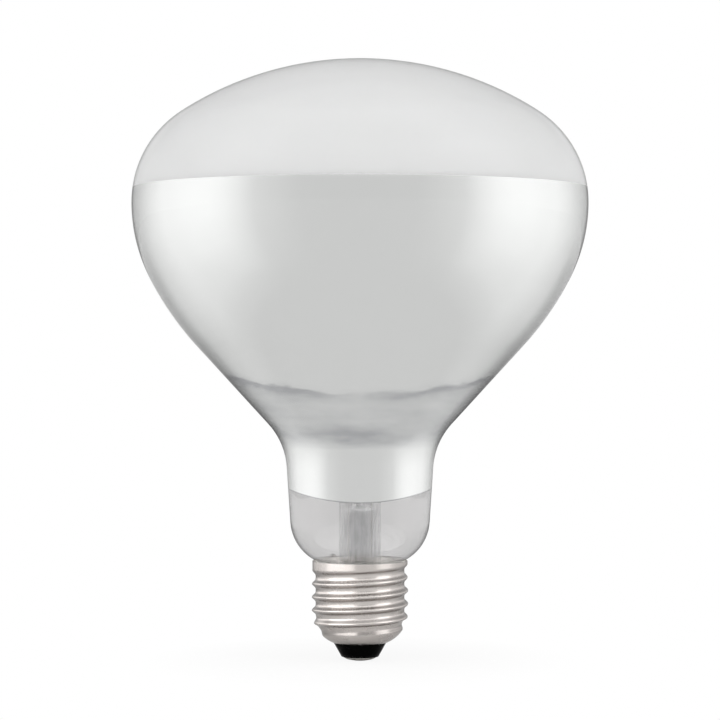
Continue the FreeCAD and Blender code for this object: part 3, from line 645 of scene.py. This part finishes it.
# Screw shell: thin brass sheet drawn into a cup and rolled between two dies, so the round
# thread shows inside and out, then plated with satin nickel. It fades out above the bowl.
SHEET = 0.0003
CAP_HEIGHT, RIM_RADIUS, CREST_RADIUS = 0.02725, 0.01305, 0.013225
PITCH, THREAD_DEPTH = 0.003629, 0.00105
FIRST_ROOT = CAP_HEIGHT - 0.00265
BOWL_OUT, BOWL_UP, BOWL_RADIUS = 0.004025, 0.0134389, 0.0092
LIP_RADIUS = 0.00745
LIP_ANGLE = math.acos((LIP_RADIUS - BOWL_OUT) / BOWL_RADIUS)
THREAD_TURNS, THREAD_FADE = 4.6, 0.36
ROWS_A_PITCH = 20


def ease(value):
    """A smooth step from 0 to 1."""
    value = min(max(value, 0.0), 1.0)
    return value * value * (3 - 2 * value)


def shell_rows():
    """The shell's outline from rim to lip: place, facing, and how deep the thread may be."""
    step = PITCH / ROWS_A_PITCH
    rows = []
    count = math.ceil((CAP_HEIGHT - BOWL_UP) / step)
    for i in range(count):
        up = CAP_HEIGHT + (BOWL_UP - CAP_HEIGHT) * i / count
        out = RIM_RADIUS + (CREST_RADIUS - RIM_RADIUS) * ease((CAP_HEIGHT - PITCH - up) / PITCH)
        rows.append(((out, 0, up), (1, 0, 0), THREAD_DEPTH - CREST_RADIUS + out))
    count = math.ceil(LIP_ANGLE * BOWL_RADIUS / step)
    for i in range(count + 1):
        angle = LIP_ANGLE * i / count
        facing = (math.cos(angle), 0, -math.sin(angle))
        spot = (BOWL_OUT + BOWL_RADIUS * facing[0], 0, BOWL_UP + BOWL_RADIUS * facing[2])
        rows.append((spot, facing, THREAD_DEPTH))
    return rows


def rolled_shell():
    """A tree that turns an outline about the axis and presses a helical groove into it."""
    tree, given, result = node_group(
        "rolled shell",
        "GeometryNodeTree",
        {
            "Outline": ("NodeSocketObject", None),
            "Steps Round": ("NodeSocketInt", 180),
            "Pitch": ("NodeSocketFloat", PITCH),
            "First Root": ("NodeSocketFloat", FIRST_ROOT),
            "Turns": ("NodeSocketFloat", THREAD_TURNS),
            "Fade": ("NodeSocketFloat", THREAD_FADE),
            "Material": ("NodeSocketMaterial", None),
        },
        {"Geometry": "NodeSocketGeometry"},
    )
    outline, grid, position, row, place_round = rows_of_outline(tree, given, 1.0)
    around = worked(tree, "ADD", place_round, 0.5)

    def of_row(value, data_type):
        return put(
            tree, "GeometryNodeSampleIndex",
            {"Geometry": outline, "Index": row, "Value": value},
            data_type=data_type, domain="POINT",
        ).outputs[0]

    def stored(name, data_type):
        found = put(tree, "GeometryNodeInputNamedAttribute", {"Name": name}, data_type=data_type)
        return of_row(next(s for s in found.outputs if s.enabled), data_type)

    def stepped(value):
        return put(
            tree, "ShaderNodeMapRange", {"Value": value}, interpolation_type="SMOOTHSTEP"
        ).outputs[0]

    level, depth = stored("level", "FLOAT"), stored("depth", "FLOAT")
    below = worked(tree, "SUBTRACT", level, given["First Root"])
    climb = worked(tree, "SUBTRACT", worked(tree, "DIVIDE", below, given["Pitch"]), around)
    turns = worked(tree, "ROUND", climb)
    run = worked(tree, "ADD", around, turns)
    top_fade = worked(tree, "SUBTRACT", 1.0, stepped(worked(tree, "DIVIDE", run, given["Fade"])))
    left = worked(tree, "DIVIDE", worked(tree, "ADD", run, given["Turns"]), given["Fade"])
    low_fade = stepped(worked(tree, "MULTIPLY_ADD", left, 0.5, 0.5))
    phase = worked(tree, "MULTIPLY", worked(tree, "SUBTRACT", climb, turns), math.pi)
    crest = worked(tree, "POWER", worked(tree, "ABSOLUTE", worked(tree, "SINE", phase)), 4.0)
    groove = worked(
        tree, "MULTIPLY",
        worked(tree, "SUBTRACT", 1.0, crest), worked(tree, "MULTIPLY", top_fade, low_fade),
    )
    pressed = put(
        tree, "ShaderNodeVectorMath",
        {
            0: stored("facing", "FLOAT_VECTOR"),
            "Scale": worked(tree, "MULTIPLY", worked(tree, "MULTIPLY", groove, depth), -1.0),
        },
        operation="SCALE",
    )
    section = put(
        tree, "ShaderNodeVectorMath",
        {0: of_row(position, "FLOAT_VECTOR"), 1: pressed.outputs[0]},
        operation="ADD",
    )
    turned = put(
        tree, "ShaderNodeVectorRotate",
        {"Vector": section.outputs[0], "Angle": worked(tree, "MULTIPLY", around, math.tau)},
        rotation_type="Z_AXIS",
    )
    marked = put(
        tree, "GeometryNodeStoreNamedAttribute",
        {"Geometry": grid, "Name": "groove", "Value": groove},
        data_type="FLOAT", domain="POINT",
    )
    moved = put(
        tree, "GeometryNodeSetPosition",
        {"Geometry": marked.outputs[0], "Position": turned.outputs[0]},
    )
    closed = put(
        tree, "GeometryNodeMergeByDistance", {"Geometry": moved.outputs[0], "Distance": 1e-6}
    )
    return made_real(tree, closed.outputs[0], given, result)


def shell_outline():
    """The wall's closed outline, each point with its facing, level and depth of thread."""
    rows = shell_rows()
    outer = [(spot, facing, spot[2], depth) for spot, facing, depth in rows]
    inner = [
        ((spot[0] - SHEET * facing[0], 0, spot[2] - SHEET * facing[2]), facing, spot[2], depth)
        for spot, facing, depth in reversed(rows)
    ]
    points = outer + inner + outer[:1]
    mesh = bpy.data.meshes.new("outline")
    mesh.from_pydata([point[0] for point in points], [], [])
    facings = mesh.attributes.new("facing", "FLOAT_VECTOR", "POINT")
    facings.data.foreach_set("vector", [part for point in points for part in point[1]])
    for number, name in ((2, "level"), (3, "depth")):
        numbers = mesh.attributes.new(name, "FLOAT", "POINT")
        numbers.data.foreach_set("value", [point[number] for point in points])
    return bpy.data.objects.new("outline", mesh)


nickel, tree, shader, place = finish("satin nickel plate", (0.60, 0.56, 0.52), Metallic=1.0)
patchy_gloss(tree, shader, place, 420, 0.2, 0.3)
root_mark = put(tree, "ShaderNodeAttribute", attribute_name="groove").outputs["Fac"]
plate = two_colours(
    tree, uneven(tree, place, 160, 0, 1)["Value"], (0.64, 0.60, 0.575), (0.575, 0.535, 0.51)
)
# Painted reflection: the thread's flanks, between crest and root, are darkened in the plate's
# colour, standing in for the darker things they reflect.
slope = worked(tree, "MULTIPLY", root_mark, worked(tree, "SUBTRACT", 1.0, root_mark))
flank = worked(tree, "MULTIPLY", slope, 4.0)
painted_flank_darkening = worked(tree, "MULTIPLY", worked(tree, "POWER", flank, 1.2), 0.55)
plate_with_painted_reflection = two_colours(tree, painted_flank_darkening, plate, (0.23, 0.215, 0.205))
tree.links.new(plate_with_painted_reflection, shader.inputs["Base Color"])
bumped(tree, shader, uneven(tree, place, 700, 0, 1)["Height"], 0.00001, 0.15)

outline = shell_outline()
screw_shell = made_by(
    rolled_shell(), "rolled_cap", Outline=outline, Steps_Round=180, Pitch=PITCH,
    First_Root=FIRST_ROOT, Turns=THREAD_TURNS, Fade=THREAD_FADE, Material=nickel,
)
bpy.data.objects.remove(outline)
faced_out(screw_shell, math.radians(60))
set_in_place(screw_shell, nickel, "nickel", "screw_shell")


# Insulator: black glass, poured hot into the cap's open end. It holds the centre contact and
# keeps it apart from the shell.
black_glass, tree, shader, place = finish(
    "black glass", (0.001, 0.001, 0.001), IOR=1.52, Specular_IOR_Level=0.02
)
cast = patchy_gloss(tree, shader, place, 500, 0.12, 0.3)
bumped(tree, shader, cast["Height"], 0.00006, 0.5)
smoothed("insulator", black_glass, "black_glass")


# Centre contact: a nickel-plated disc held by the black glass. The lead comes through its
# hole and is soldered there, and the flat of the solder is what the lamp stands on. A drop of
# the same solder joins the side lead to the cap's rim.
contact_plate, tree, shader, place = finish("plated contact", (0.62, 0.60, 0.57), Metallic=1.0)
patchy_gloss(tree, shader, place, 800, 0.25, 0.4)
smoothed("centre_contact", contact_plate, "nickel")

solder, tree, shader, place = finish("tin solder", (0.62, 0.62, 0.61), Metallic=1.0)
frozen = patchy_gloss(tree, shader, place, 900, 0.25, 0.5)
bumped(tree, shader, frozen["Height"], 0.00005, 0.6)
smoothed("centre_solder", solder, "solder")
side_drop = smoothed("side_solder", solder, "solder")


# Studio: a pale table and a white tent that lights the lamp from all round. The tent is grey
# at the camera's side, brightest at the two sides, and behind the lamp it has grey flags round a
# pale backdrop, which draw the glass's edges. A dark runner on the table does so lower down.
TABLE_HALF = 3.0
RUNNER_START = -0.05
table, tree, shader, place = finish("pale table", (0.9, 0.9, 0.9), Roughness=0.9)
seen = tree.nodes.new("ShaderNodeLightPath").outputs
white = put(tree, "ShaderNodeEmission", {"Color": (1, 1, 1, 1), "Strength": 1.0})
parts = put(tree, "ShaderNodeSeparateXYZ", {"Vector": place}).outputs
runner = ramp(
    tree, worked(tree, "ABSOLUTE", parts["X"]),
    [(0.0, 0.86), (0.105, 0.88), (0.12, 0.82), (0.135, 0.7), (0.155, 0.5), (0.17, 0.38),
     (0.215, 0.24), (0.4, 0.16), (0.8, 0.1)],
)
deeper = ramp(
    tree, worked(tree, "SUBTRACT", parts["Y"], RUNNER_START),
    [(0.0, 0.0), (0.02, 0.0), (0.06, 0.2), (0.08, 0.32), (0.1, 0.5), (0.13, 0.64), (0.156, 0.76),
     (0.19, 0.8), (0.27, 0.86), (0.33, 0.95), (0.38, 1.0)],
)
dark = worked(tree, "MULTIPLY", runner, deeper)
tree.links.new(two_colours(tree, dark, (0.9, 0.9, 0.9), (0, 0, 0)), shader.inputs["Base Color"])
# The camera sees the table white, with a little of its own shade round the lamp's foot.
reach = put(tree, "ShaderNodeVectorMath", {0: place}, operation="LENGTH").outputs["Value"]
clear = put(
    tree, "ShaderNodeMapRange",
    {"Value": reach, "From Min": 0.02, "From Max": 0.06, "To Min": 0.9, "To Max": 1.0},
).outputs[0]
share = worked(tree, "MULTIPLY", seen["Is Camera Ray"], clear)
blend = put(tree, "ShaderNodeMixShader", {0: share, 1: shader.outputs[0], 2: white.outputs[0]})
tree.links.new(blend.outputs[0], tree.nodes["Material Output"].inputs["Surface"])
ground = bpy.data.meshes.new("table")
corners = [(x * TABLE_HALF, y * TABLE_HALF, 0) for x, y in ((-1, -1), (1, -1), (1, 1), (-1, 1))]
ground.from_pydata(corners, [], [(0, 1, 2, 3)])
ground.materials.append(table)
floor = bpy.data.objects.new("table", ground)
bpy.context.scene.collection.objects.link(floor)
floor.visible_transmission = False

world = bpy.data.worlds.new("white tent")
bpy.context.scene.world = world
world.use_nodes = True
tree = world.node_tree
looked_at = tree.nodes.new("ShaderNodeTexCoord").outputs["Generated"]
direction = put(tree, "ShaderNodeSeparateXYZ", {"Vector": looked_at}).outputs
squares = worked(tree, "MULTIPLY_ADD", direction["Y"], direction["Y"], 1e-6)
squares = worked(tree, "MULTIPLY_ADD", direction["X"], direction["X"], squares)
level_part = worked(tree, "SQRT", squares)
round_from_camera = worked(
    tree, "MULTIPLY_ADD", worked(tree, "DIVIDE", direction["Y"], level_part), 0.5, 0.5
)
# From 0 at the camera's side to 1 behind the lamp, and from 0 straight down to 1 straight up.
behind = worked(tree, "MULTIPLY_ADD", direction["Y"], 0.5, 0.5)
upward = worked(tree, "MULTIPLY_ADD", direction["Z"], 0.5, 0.5)
overhead = ramp(
    tree, upward, [(0.0, 0.0), (0.64, 0.0), (0.69, 1.0), (0.86, 1.0), (0.93, 0.35), (1.0, 0.3)]
)
near = ramp(tree, behind, [(0.0, 1.0), (0.4, 1.0), (0.62, 0.0), (1.0, 0.0)])
front_roof = worked(tree, "MULTIPLY", overhead, near)
back_roof = worked(tree, "MULTIPLY", overhead, worked(tree, "SUBTRACT", 1.0, near))
walls = worked(tree, "MULTIPLY_ADD", front_roof, 0.78, 0.65)
walls = worked(tree, "SUBTRACT", walls, worked(tree, "MULTIPLY", back_roof, 0.2))
sides = ramp(
    tree, round_from_camera,
    [(0.0, 0.0), (0.06, 0.02), (0.2, 0.24), (0.265, 0.53), (0.34, 0.76), (0.42, 0.87),
     (0.54, 0.88), (0.66, 0.8), (0.72, 0.78), (0.8, 0.56), (0.87, 0.31), (0.905, 0.19),
     (0.945, 0.05), (1.0, 0.0)],
)
side_heights = ramp(
    tree, upward,
    [(0.0, 0.0), (0.1, 0.0), (0.15, 0.2), (0.19, 0.42), (0.3, 0.75), (0.45, 1.0), (0.75, 1.0),
     (1.0, 0.6)],
)
wide_flags = ramp(
    tree, behind, [(0.0, 0.0), (0.88, 0.0), (0.905, 0.4), (0.945, 0.9), (0.97, 1.0), (1.0, 1.0)]
)
flag_heights = ramp(
    tree, upward, [(0.0, 0.2), (0.2, 0.3), (0.4, 0.3), (0.46, 0.05), (0.5, 0.0)]
)
narrow_flags = ramp(tree, behind, [(0.0, 0.0), (0.96, 0.0), (0.984, 0.38), (1.0, 0.38)])
glow = worked(tree, "MULTIPLY", worked(tree, "MULTIPLY", sides, side_heights), 0.5)
glow = worked(tree, "ADD", glow, walls)
glow = worked(tree, "SUBTRACT", glow, worked(tree, "MULTIPLY", wide_flags, flag_heights))
glow = worked(tree, "MAXIMUM", worked(tree, "SUBTRACT", glow, narrow_flags), 0.33)
away = put(
    tree, "ShaderNodeVectorMath", {0: looked_at, 1: (0.0, 0.998, -0.0575)}, operation="DISTANCE"
).outputs["Value"]
backdrop = put(
    tree, "ShaderNodeMapRange", {"Value": away, "From Min": 0.17, "From Max": 0.11}
).outputs[0]
glow = put(tree, "ShaderNodeMix", {"Factor": backdrop, "A": glow, "B": 0.75}).outputs["Result"]
tent = put(tree, "ShaderNodeBackground", {"Color": (1, 1, 1, 1), "Strength": glow})
white = put(tree, "ShaderNodeBackground", {"Color": (1, 1, 1, 1), "Strength": 1.0})
seen = tree.nodes.new("ShaderNodeLightPath").outputs
blend = put(
    tree, "ShaderNodeMixShader",
    {0: seen["Is Camera Ray"], 1: tent.outputs[0], 2: white.outputs[0]},
)
tree.links.new(blend.outputs[0], tree.nodes["World Output"].inputs["Surface"])

lit_cap = bpy.data.collections.new("lit by the cap's lamps")
lit_cap.objects.link(screw_shell)
lit_rim = bpy.data.collections.new("lit inside the rim")
for piece in (cement_ring, side_lead, side_drop):
    lit_rim.objects.link(piece)

LAMP_REACH, LAMP_UP, LAMP_TALL = 0.42, 0.05, 0.36
CAP_MIDDLE = Vector((0, 0, 0.016))


def cap_lamp(name, turn, width, energy):
    """A broad lamp that only lights the cap, turned round it from the camera's side."""
    lamp = bpy.data.objects.new(name, bpy.data.lights.new(name, "AREA"))
    bpy.context.scene.collection.objects.link(lamp)
    around = math.radians(turn)
    lamp.location = (LAMP_REACH * math.sin(around), -LAMP_REACH * math.cos(around), LAMP_UP)
    lamp.rotation_euler = (CAP_MIDDLE - lamp.location).to_track_quat("-Z", "Y").to_euler()
    lamp.data.shape = "RECTANGLE"
    lamp.data.size = width
    lamp.data.size_y = LAMP_TALL
    lamp.data.energy = energy
    lamp.light_linking.receiver_collection = lit_cap
    return lamp


cap_lamp("left lamp", -50, 0.6, 1.35)
cap_lamp("far left lamp", -112, 0.5, 0.35)
cap_lamp("right lamp", 62, 0.3, 0.42)
rim_lamp = cap_lamp("rim lamp", 0, 0.6, 4.2)
rim_lamp.light_linking.receiver_collection = lit_rim
rim_lamp.light_linking.blocker_collection = lit_cap


# Camera: level with the middle of the mirror and square to the lamp's axis, with a long lens
# some way off, which keeps the mirror's edges nearly straight.
camera = bpy.data.objects.new("camera", bpy.data.cameras.new("camera"))
bpy.context.scene.collection.objects.link(camera)
camera.location = (0, -0.728, 0.0878)
camera.rotation_euler = (math.pi / 2, 0, 0)
camera.data.sensor_width = 36
camera.data.lens = 132.65
camera.data.shift_y = -0.0278
bpy.context.scene.camera = camera
bpy.context.scene.view_settings.view_transform = "Standard"
